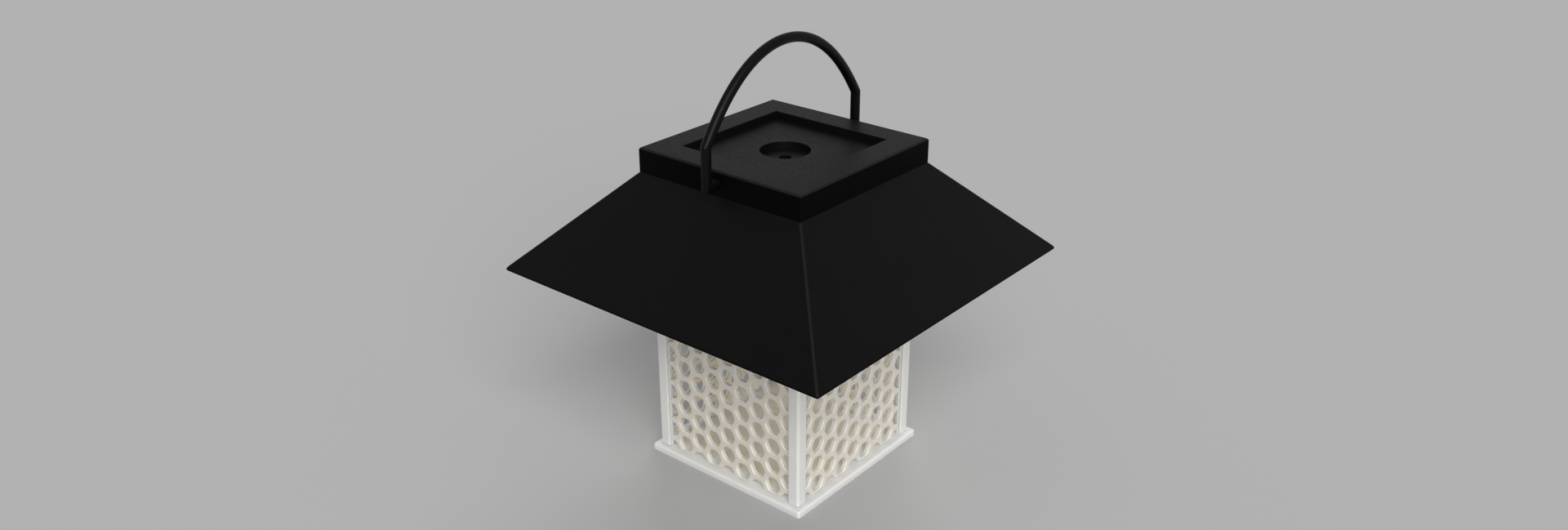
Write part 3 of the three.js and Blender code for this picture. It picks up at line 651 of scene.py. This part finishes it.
cell_steel = plated_steel("cell_end_steel", (0.5, 0.5, 0.5), (0.68, 0.68, 0.68), 0.25)
along_x = at(cell_start, cell_y, cell_z) @ Matrix.Rotation(pi / 2, 4, "Y")
cell_shape = bmesh.new()
sleeve_mouth, fold_middle = battery_radius - sleeve_lap, battery_radius - sleeve_fold
turned(cell_shape, [(sleeve_mouth, 0.05), (fold_middle, 0), *arc(fold_middle, sleeve_fold, sleeve_fold, -90, 0, 4),
                    *arc(fold_middle, cell_length - sleeve_fold, sleeve_fold, 0, 90, 4),
                    (sleeve_mouth, cell_length - 0.05)], 40, along_x)
turned(cell_shape, [(0, 0.25), (sleeve_mouth - 0.4, 0.25), (sleeve_mouth, 0.05)], 40, along_x, 1)
turned(cell_shape, [(sleeve_mouth, cell_length - 0.05), (sleeve_mouth - 0.4, cell_length - 0.3),
                    (nub_radius + 0.3, cell_length - 0.3), (nub_radius, cell_length),
                    *arc(nub_radius - 0.4, cell_length + nub_length - 0.4, 0.4, 0, 90, 4),
                    (0, cell_length + nub_length)], 40, along_x, 1)
merge(cell_shape)
turn_outward(cell_shape)
finish_piece(cell_shape, "rechargeable_cell", "lamp", "cell_sleeve", ["battery_cell"], sleeve, cell_steel)


# Control board: green glass-fibre board on the tray's two pillars, held by two screws. It carries the
# driver chip, an inductor and the socket that the solar cell plugs into.
board_low, board_high = cad_corners("control_board")
board_top = board_high.z
board, board_surface, node = shader_material("board_green")
tracks = node("ShaderNodeTexBrick", {"Vector": node("ShaderNodeTexCoord").outputs["Object"], "Scale": 260.0,
                                     "Mortar Size": 0.03, "Brick Width": 1.3, "Row Height": 0.45,
                                     "Color1": (0.008, 0.085, 0.028, 1), "Color2": (0.012, 0.11, 0.036, 1),
                                     "Mortar": (0.03, 0.2, 0.07, 1)})
join(board_surface, {"Base Color": tracks.outputs["Color"]})
vary_gloss(board_surface, node, noise(node, 500.0), 0.28, 0.42)
roughen(board_surface, node, tracks.outputs["Fac"], 0.4, 0.05)
solder = plated_steel("solder", (0.5, 0.5, 0.5), (0.72, 0.72, 0.71), 0.3)


def fill_round(shape, face, hole):
    """Puts a flat face with a hole, given by its edges, in place of a whole one."""
    normal, border = face.normal.copy(), list(face.edges)
    bmesh.ops.delete(shape, geom=[face], context="FACES_ONLY")
    bmesh.ops.triangle_fill(shape, use_beauty=True, edges=hole + border, normal=normal)


def pierce(shape, face, centre, radius, depth, steps=40):
    """Sinks a round hole into a flat face, and gives back the edges of its far end."""
    normal = face.normal.copy()
    facing = normal.to_track_quat("Z", "Y").to_matrix().to_4x4()
    circle = bmesh.ops.create_circle(shape, segments=steps, radius=radius * mm,
                                     matrix=at(*centre) @ facing)["verts"]
    mouth = list({edge for vert in circle for edge in vert.link_edges})
    fill_round(shape, face, mouth)
    wall = bmesh.ops.extrude_edge_only(shape, edges=mouth)["geom"]
    far = set(verts_in(wall))
    bmesh.ops.translate(shape, verts=list(far), vec=-normal * depth * mm)
    return [edge for edge in shape.edges if set(edge.verts) <= far]


# The board is made as two halves, each with its screw hole, that are merged along the middle
board_holes, board_hole_radius, board_screw_length = [(17, 10), (-17, 24)], 1.5, 4.6
board_shape = bmesh.new()
for (start, end), (x, y) in zip(((board_low.x, 0), (0, board_high.x)), reversed(board_holes)):
    half = bmesh.new()
    block(half, (start, board_low.y, board_low.z), (end, board_high.y, board_top))
    bmesh.ops.delete(half, geom=[f for f in half.faces if abs(f.calc_center_median().x) < 0.01 * mm],
                     context="FACES_ONLY")
    upper = next(f for f in half.faces if f.normal.z > 0.9)
    far_end = pierce(half, upper, (x, y, board_top), board_hole_radius, board_top - board_low.z, 24)
    fill_round(half, next(f for f in half.faces if f.normal.z < -0.9), far_end)
    add_part(board_shape, half)
merge(board_shape, 0.005)
for x, y in ((-10, 9.5), (10, 9.5), (-0.6, 9.5), (0.6, 9.5), (9.4, 24.5), (10.6, 24.5)):
    turned(board_shape, [(0, 0.7), (0.5, 0.62), (0.85, 0.3), (1.05, 0), (0, -0.1)], 16, at(x, y, board_top), 1)
finish_piece(board_shape, "green_board", "lamp", "board_green", ["control_board"], board, solder)

chip_low, chip_high = cad_corners("driver_chip")
chip_middle, leg_half, leg_height, leg_start, leg_reach = (chip_low.y + chip_high.y) / 2, 0.2, 0.6, 1.2, 2
chip_epoxy, _ = moulded_plastic("chip_epoxy", (0.012, 0.012, 0.013), (0.02, 0.02, 0.021), 0.45, 0.6, 0.3,
                                300.0)
chip_shape = soft_block((chip_low.x, chip_low.y + 0.7, chip_low.z + 0.1),
                        (chip_high.x, chip_high.y - 0.7, chip_high.z), 0.15)
for leg_x in (-1.9, -0.63, 0.63, 1.9):
    for side in (-1, 1):
        foot = sorted((chip_middle + side * leg_start, chip_middle + side * leg_reach))
        lead = bmesh.new()
        block(lead, (leg_x - leg_half, foot[0], chip_low.z), (leg_x + leg_half, foot[1], chip_low.z + leg_height))
        soften(lead, edges_at(lead, lambda end: end.z > chip_low.z + leg_height - 0.1
                              and abs(end.y - chip_middle - side * leg_reach) < 0.1), 0.35, 3)
        add_part(chip_shape, lead, material=1)
finish_piece(chip_shape, "driver_chip_package", "lamp", "chip_black", ["driver_chip"], chip_epoxy, solder)

coil_base = cad_corners("boost_inductor")[0].z
ferrite, _ = moulded_plastic("ferrite", (0.02, 0.019, 0.018), (0.04, 0.038, 0.035), 0.5, 0.7, 0.5, 400.0)
copper, copper_surface, node = shader_material("enamelled_copper")
strands = node("ShaderNodeTexWave", {"Vector": node("ShaderNodeTexCoord").outputs["Object"], "Scale": 900.0},
               bands_direction="Z")
join(copper_surface, {"Metallic": 0.8, "Roughness": 0.35, "Base Color": between(
    node, strands.outputs["Fac"], (0.25, 0.07, 0.02), (0.62, 0.24, 0.09))})
roughen(copper_surface, node, strands.outputs["Fac"], 0.6, 0.1)
coil_place = at(-10, 17, coil_base)
coil_shape = bmesh.new()
turned(coil_shape, [(0, 0), (2.8, 0), (3, 0.2), (3, 0.9), (2.8, 1.1), (1.4, 1.1), (1.4, 3.9), (2.8, 3.9),
                    (3, 4.1), (3, 4.8), (2.8, 5), (0.5, 5), (0.4, 4.8), (0, 4.8)], 32, coil_place)
turned(coil_shape, [(1.3, 1.15), (2.45, 1.15), (2.6, 1.5), (2.6, 3.5), (2.45, 3.85), (1.3, 3.85), (1.3, 1.15)],
       32, coil_place, 1)
finish_piece(coil_shape, "wound_inductor", "lamp", "ferrite", ["boost_inductor"], ferrite, copper)

socket_low, socket_high = cad_corners("cell_socket")
socket_wall, socket_hollow, pin_half, pin_row = 1, 5, 0.25, 17
socket_plastic, _ = moulded_plastic("cream_socket_plastic", (0.72, 0.69, 0.6), (0.78, 0.75, 0.67), 0.42, 0.55)
socket_shape = soft_block(socket_low, socket_high, 0.2, 2, ((0, 0, 1), socket_wall, (0, 0, -socket_hollow)))
for x in (8.9, 11.1):
    pin = soft_block((x - pin_half, pin_row - pin_half, socket_low.z + 0.9),
                     (x + pin_half, pin_row + pin_half, socket_high.z - 1), 0.12)
    add_part(socket_shape, pin, material=1)
finish_piece(socket_shape, "solar_cell_socket", "lamp", "socket_cream", ["cell_socket"], socket_plastic, solder)

for number, (x, y) in enumerate(board_holes, 1):
    pan_screw(f"pillar_screw_{number}", f"board_screw_{number}", x, y, board_top, board_screw_length)


# Slide switch: a small switch in a folded steel case on the tray's shelf. Its ribbed knob reaches out
# through a slot in the tray's back wall, under the eave, and slides sideways to turn the lamp on.
switch_low, switch_high = cad_corners("switch_body")
knob_low, knob_high = cad_corners("switch_knob")
case_wall, slot_depth, rib_pitch, rib_half = 1.2, 3, 0.75, 0.2
switch_steel = plated_steel("switch_case_steel", (0.4, 0.4, 0.4), (0.55, 0.55, 0.54), 0.36)
switch_shape = soft_block(switch_low, switch_high, 0.3, 3, ((0, 1, 0), case_wall, (0, -slot_depth, 0)))
finish_piece(switch_shape, "slide_switch_case", "lamp", "switch_case", ["switch_body"], switch_steel)

knob_plastic = black_plastic("black_knob_plastic", 0.006, 0.42, 0.55)
knob_shape = soft_block(knob_low, (knob_high.x, knob_high.y - 0.4, knob_high.z), 0.3, 3)
for rib in range(3):
    x = knob_low.x + rib_pitch * (rib + 1)
    add_part(knob_shape, soft_block((x - rib_half, knob_high.y - 0.8, knob_low.z + 0.3),
                                    (x + rib_half, knob_high.y, knob_high.z - 0.3), 0.15, 3))
finish_piece(knob_shape, "ribbed_knob", "switch", "knob_black", ["switch_knob"], knob_plastic)


# Lamp: a clear round light-emitting diode that hangs by its rim in the middle of the tray's floor, with
# its lens down inside the diffuser and a small yellow-coated chip in a cup behind the lens.
lamp_tip, lamp_rim_top, lamp_radius, rim_radius = 82.4, 91, 2.5, 2.9
lens, lens_surface, node = shader_material("clear_lens")
lens_haze = noise(node, 800.0)
join(lens_surface, {"Base Color": between(node, lens_haze, (0.9, 0.88, 0.74), (0.96, 0.94, 0.84)),
                    "Transmission Weight": 0.7, "IOR": 1.5})
vary_gloss(lens_surface, node, lens_haze, 0.05, 0.14)
phosphor, _ = moulded_plastic("phosphor", (0.75, 0.6, 0.08), (0.85, 0.7, 0.14), 0.5, 0.7, 0.3, 900.0)
lamp_shape = bmesh.new()
turned(lamp_shape, [*arc(0, lamp_tip + lamp_radius, lamp_radius, -90, 0, 10), (lamp_radius, tray_floor),
                    (rim_radius - 0.1, tray_floor), (rim_radius, tray_floor + 0.1),
                    (rim_radius, lamp_rim_top - 0.15), (rim_radius - 0.15, lamp_rim_top), (0, lamp_rim_top)], 40)
turned(lamp_shape, [(0, 87), (0.6, 87), (1.1, 86.2), (1.3, 86.2), (1.3, 88), (0, 88)], 24, material=1)
finish_piece(lamp_shape, "led_lens", "lamp", "clear_lens", ["led_lamp"], lens, phosphor)


# Wires: stranded copper in soft plastic insulation, a single red and a single black wire from the
# battery contacts and a twin lead each from the lamp and the switch, all soldered to the board.
def insulation(name, dull, bright):
    return moulded_plastic(name, dull, bright, 0.38, 0.5, 0.2, 200.0)[0]


wire_radius, board_edge = 0.6, 9.5
contact_top, contact_rise, wire_rise = 104, 107, 3
for side, tint, dull, bright in ((-1, "black", (0.008,) * 3, (0.014,) * 3),
                                 (1, "red", (0.32, 0.012, 0.01), (0.42, 0.02, 0.016))):
    x, end_x = side * 26.75, side * 10
    run = [(x, cell_y, contact_top), (x, cell_y, contact_rise), ((x + end_x) / 2, 0, contact_rise),
           (end_x, board_edge, board_top + 6), (end_x, board_edge, board_top)]
    finish_piece(round_wire(run, wire_radius, True), f"{tint}_battery_wire", "lamp", "wire_" + tint,
                 ["battery_wire_" + tint], insulation(tint + "_insulation", dull, bright))


def twin_lead(name, node_name, slot, run, material):
    lead = bmesh.new()
    for offset in (-wire_radius, wire_radius):
        add_part(lead, round_wire([(x + offset, y, z) for x, y, z in run], wire_radius, True))
    finish_piece(lead, name, "lamp", slot, [node_name], material)


twin_lead("lamp_twin_lead", "led_lead", "wire_grey",
          [(0, 0, lamp_rim_top), (0, 0, lamp_rim_top + wire_rise), (0, board_edge / 2, board_top + 6),
           (0, board_edge, board_top + wire_rise), (0, board_edge, board_top)],
          insulation("grey_insulation", (0.6, 0.58, 0.52), (0.7, 0.68, 0.62)))
twin_lead("switch_twin_lead", "switch_lead", "wire_yellow",
          [(18, 29.7, 103), (18, 26.7, 103), (14, 26.7, 100), (10, 24.5, board_top + wire_rise),
           (10, 24.5, board_top)],
          insulation("yellow_insulation", (0.62, 0.4, 0.03), (0.72, 0.48, 0.05)))


# Roof: one black plastic moulding, a hollow square skirt at 45 degrees with a flat top plate that is open
# in the middle, and four round bosses under the slopes for the tray's screws. The slopes keep the plain black,
# the steep faces that look sideways or down are painted darker as shade, and the hips' rounded edges are painted
# paler as a highlight.
eave, roof_top, roof_half, cap_half, roof_wall = 86, 126, 80, 40, 2.4
eave_setback, hip_setback, mouth_half = 2.94, 0.6, 26
boss_reach, boss_radius, boss_bottom = 47, 4, 99.7
roof_plastic = black_plastic("black_roof_plastic", 0.0022, 0.36, 0.5)
painted_shade_black_plastic = black_plastic("painted_shade_black_plastic", 0.0014, 0.5, 0.62, shine=0.03)
painted_highlight_black_plastic = black_plastic("painted_highlight_black_plastic", 0.009, 0.4, 0.55)
wall_across = roof_wall * sqrt(2)
ceiling = roof_top - roof_wall
outer_hip = roof_half + eave - 2.3   # |x| + z beyond which a hip edge is on the outside
roof_shape = bmesh.new()
skirt = square_block(roof_shape, roof_half, eave, roof_top)
bmesh.ops.scale(roof_shape, verts=[v for v in skirt if v.co.z > (roof_top - 1) * mm],
                vec=(cap_half / roof_half, cap_half / roof_half, 1))
underside = picked_face(roof_shape, (0, 0, -1))
inset(roof_shape, underside, wall_across)
inner_low, inner_top = roof_half - wall_across, roof_half - wall_across - (ceiling - eave)
hollow = push_faces(roof_shape, [underside], (0, 0, ceiling - eave), inner_top / inner_low)[0]
top_plate = picked_face(roof_shape, (0, 0, 1))
inset(roof_shape, top_plate, cap_half - mouth_half)
inset(roof_shape, hollow, inner_top - mouth_half)
mouth_edges = list(top_plate.edges) + list(hollow.edges)
bmesh.ops.delete(roof_shape, geom=[top_plate, hollow], context="FACES_ONLY")
bmesh.ops.bridge_loops(roof_shape, edges=mouth_edges)
turn_outward(roof_shape)
soften(roof_shape, edges_at(roof_shape, lambda end: end.z < eave + 0.1 and reach(end) > roof_half - 0.1),
       eave_setback, 8)
soften(roof_shape, edges_where(roof_shape, lambda a, b: all(
    abs(abs(end.x) - abs(end.y)) < 0.01 and end.z > eave - 0.01 and abs(end.x) + end.z > outer_hip
    for end in (a, b))
    and abs(abs(a.x) - abs(b.x)) > 0.01), hip_setback, 4, False)
for place in quarter_turns:
    roof_boss = bmesh.new()
    height = roof_top - boss_bottom
    bmesh.ops.create_cone(roof_boss, cap_ends=True, segments=32, radius1=boss_radius * mm,
                          radius2=boss_radius * mm, depth=height * mm,
                          matrix=at(boss_reach, 0, boss_bottom + height / 2))
    cut = bmesh.ops.bisect_plane(roof_boss, geom=whole(roof_boss), plane_co=Vector((roof_half - 1, 0, eave)) * mm,
                                 plane_no=(1, 0, 1), clear_outer=True)["geom_cut"]
    bmesh.ops.edgeloop_fill(roof_boss, edges=[part for part in cut if isinstance(part, bmesh.types.BMEdge)])
    add_part(roof_shape, roof_boss, place)
roof_shape.normal_update()
# Steep faces take the black painted darker as shade, and the hips' rounded faces the black painted paler as a
# highlight
for face in roof_shape.faces:
    middle = face.calc_center_median() / mm
    if face.normal.z < 0.35:
        face.material_index = 1
    elif min(abs(face.normal.x), abs(face.normal.y)) > 0.1 and abs(middle.x) + middle.z > outer_hip:
        face.material_index = 2
finish_piece(roof_shape, "hipped_roof", "lamp", "black_plastic", ["roof_skirt"], roof_plastic,
             painted_shade_black_plastic, painted_highlight_black_plastic)


# Tray screws: the same pan-head screws, driven up through the tray's four ears into the bosses under the
# roof. They hold the roof on, and are the only screws that can be reached from outside.
ear_bottom, tray_screw_length = 97, 9
four_screws("ear_screw", "tray_screw", ((1, 0), (0, 1), (-1, 0), (0, -1)), boss_reach, ear_bottom,
            tray_screw_length, up=True)


# Cap: a square black moulding on the roof's top plate, held by four screws from below. Its top has the sunk
# seat for the solar cell, with a round well and a wire hole, and a rim painted paler as a highlight. Its sides
# are painted darker as shade, and two of them have the holes for the handle's pins.
cap_top, rim_edge, corner_edge, seat_edge, well_edge = 136, 1, 0.3, 0.25, 0.2
seat_half, seat_depth, well_radius, well_depth, wire_hole = 28, 3, 10, 3, 2.5
pin_height, pin_hole_radius, pin_hole_depth = 131, 2.5, 5
cap_plastic = black_plastic("black_cap_plastic", 0.003, 0.36, 0.5, shine=0.12)
cap_shape = bmesh.new()
square_block(cap_shape, cap_half, roof_top, cap_top)
seat = picked_face(cap_shape, (0, 0, 1))
inset(cap_shape, seat, cap_half - seat_half)
seat = push_faces(cap_shape, [seat], (0, 0, -seat_depth))[0]
seat.normal_update()
well_edges = pierce(cap_shape, seat, (0, 0, cap_top - seat_depth), well_radius, well_depth, 64)
well_floor = bmesh.ops.edgeloop_fill(cap_shape, edges=well_edges)["faces"][0]
well_floor.normal_update()
if well_floor.normal.z < 0:
    well_floor.normal_flip()
well_bottom = cap_top - seat_depth - well_depth
hole_edges = pierce(cap_shape, well_floor, (0, 0, well_bottom), wire_hole, well_bottom - roof_top)
fill_round(cap_shape, picked_face(cap_shape, (0, 0, -1)), hole_edges)
for side in (-1, 1):
    pin_floor = pierce(cap_shape, picked_face(cap_shape, (0, side, 0)), (0, side * cap_half, pin_height),
                       pin_hole_radius, pin_hole_depth, 32)
    bmesh.ops.edgeloop_fill(cap_shape, edges=pin_floor)
turn_outward(cap_shape)
soften(cap_shape, edges_at(cap_shape, lambda end: reach(end) > cap_half - 0.1 and end.z > cap_top - 0.1),
       rim_edge, 4)
soften(cap_shape, edges_where(cap_shape, lambda a, b: abs(a.z - b.z) > 0.01 and all(
    abs(abs(end.x) - abs(end.y)) < 0.01 and abs(end.x) > seat_half + 1 for end in (a, b))),
       corner_edge, 2, False)
soften(cap_shape, edges_at(cap_shape, lambda end: abs(reach(end) - seat_half) < 0.01
                           and end.z > cap_top - 0.1), seat_edge, 2)
soften(cap_shape, edges_at(cap_shape, lambda end: abs(hypot(end.x, end.y) - well_radius) < 0.01
                           and abs(end.z - cap_top + seat_depth) < 0.1), well_edge, 2)
cap_shape.normal_update()
# Upright side faces take the black painted darker as shade, and the top rim's rounded faces the black painted
# paler as a highlight
for face in cap_shape.faces:
    middle = face.calc_center_median() / mm
    if reach(middle) > cap_half - 0.9:
        if abs(face.normal.z) < 0.3:
            face.material_index = 1
        elif middle.z > cap_top - 0.9:
            face.material_index = 2
finish_piece(cap_shape, "cell_seat_cap", "lamp", "black_plastic", ["cap_housing"], cap_plastic,
             painted_shade_black_plastic, painted_highlight_black_plastic)


# Cap screws: four of the same pan-head screws, driven up through the roof's top plate into the cap before
# the roof goes on the tray.
cap_screw_place, cap_screw_length = 31, 8
four_screws("plate_screw", "cap_screw", corners, cap_screw_place, ceiling, cap_screw_length, up=True)


# Carrying handle: one black plastic-coated rod bent to an arch, with an upright leg and an inward pin at
# either end. The pins spring into the cap's side holes, so the handle swings down on either side.
rod_radius, leg_y, pin_end, kink, arch_rise, arch_flatness, arch_steps = 2, 45, 35.5, 146, 31, 0.83, 48
rod_plastic = black_plastic("black_rod_coating", 0.003, 0.3, 0.42, 0.08)
rod_path = [(-pin_end, pin_height), (-leg_y, pin_height)]
for step in range(arch_steps + 1):
    share = 2 * step / arch_steps - 1
    drop = arch_rise * (arch_flatness * share ** 2 + (1 - arch_flatness) * share ** 4)
    rod_path.append((share * leg_y, kink + arch_rise - drop))
rod_path += [(leg_y, pin_height), (pin_end, pin_height)]
rod_path = [Vector((0, y, z)) * mm for y, z in rod_path]
rod_shape = bmesh.new()
bmesh.ops.create_circle(rod_shape, segments=28, radius=rod_radius * mm,
                        matrix=Matrix.Translation(rod_path[0]) @ Matrix.Rotation(pi / 2, 4, "X"))
first_ring = rod_shape.edges[:]
ring = first_ring
for before, here, after in zip(rod_path, rod_path[1:], rod_path[2:] + [rod_path[-1] * 2 - rod_path[-2]]):
    heading = (here - before).normalized()
    mitre = heading + (after - here).normalized()
    grown = set(bmesh.ops.extrude_edge_only(rod_shape, edges=ring)["geom"])
    for vert in verts_in(grown):
        vert.co += heading * (here - vert.co).dot(mitre) / heading.dot(mitre)
    ring = [part for part in grown if isinstance(part, bmesh.types.BMEdge) and set(part.verts) <= grown]
for end in (first_ring, ring):
    bmesh.ops.edgeloop_fill(rod_shape, edges=end)
turn_outward(rod_shape)
finish_piece(rod_shape, "swing_handle", "handle", "black_rod", ["carrying_handle"], rod_plastic, crease=20)
